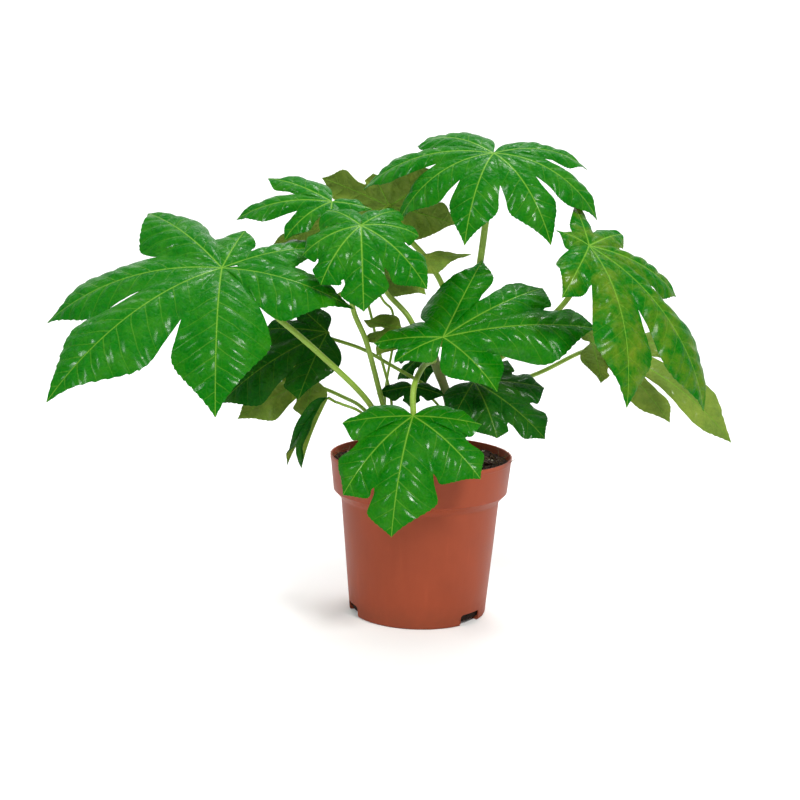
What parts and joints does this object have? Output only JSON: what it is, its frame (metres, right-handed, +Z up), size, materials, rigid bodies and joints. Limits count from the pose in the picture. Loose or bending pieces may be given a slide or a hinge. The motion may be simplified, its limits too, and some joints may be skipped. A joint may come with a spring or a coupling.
{
  "type": "potted fatsia",
  "caption": "Young fatsia house plant with large glossy hand-shaped leaves on upright stalks, in a plain tapered plastic nursery pot filled with soil.",
  "frame": {"origin": "middle of the pot's underside, in the plane that it stands on", "axes": "+Z up along the pot's axis, +X to the picture's right, -Y towards its viewer"},
  "size_m": [0.4802, 0.1908, 0.3414],
  "materials": {
    "pot": "smooth matte terracotta-coloured moulded plastic",
    "soil": null,
    "stem": "young green stem, satin",
    "petiole": null,
    "leaf": null,
    "dark_leaf": null,
    "olive_leaf": null
  },
  "bodies": {
    "root": {"pot": "pot", "soil": "soil", "stem_main": "stem", "stem_side": "stem", "blade_left": "leaf", "petiole_left": "petiole", "blade_top": "leaf", "petiole_top": "petiole", "blade_middle": "leaf", "petiole_middle": "petiole", "blade_right": "leaf", "petiole_right": "petiole", "blade_upper_left": "leaf", "petiole_upper_left": "petiole", "blade_back_top": "olive_leaf", "petiole_back_top": "petiole", "blade_behind_middle": "olive_leaf", "petiole_behind_middle": "petiole", "blade_centre": "leaf", "petiole_centre": "petiole", "blade_over_rim": "leaf", "petiole_over_rim": "petiole", "blade_low_right": "dark_leaf", "petiole_low_right": "petiole", "blade_far_right": "olive_leaf", "petiole_far_right": "petiole", "blade_left_low": "dark_leaf", "petiole_left_low": "petiole", "blade_left_lowest": "olive_leaf", "petiole_left_lowest": "petiole", "blade_folded": "dark_leaf", "petiole_folded": "petiole", "blade_inner_left": "olive_leaf", "petiole_inner_left": "petiole", "blade_inner_back": "dark_leaf", "petiole_inner_back": "petiole", "blade_inner_low": "dark_leaf", "petiole_inner_low": "petiole", "blade_back_left": "olive_leaf", "petiole_back_left": "petiole"}
  },
  "joints": []
}
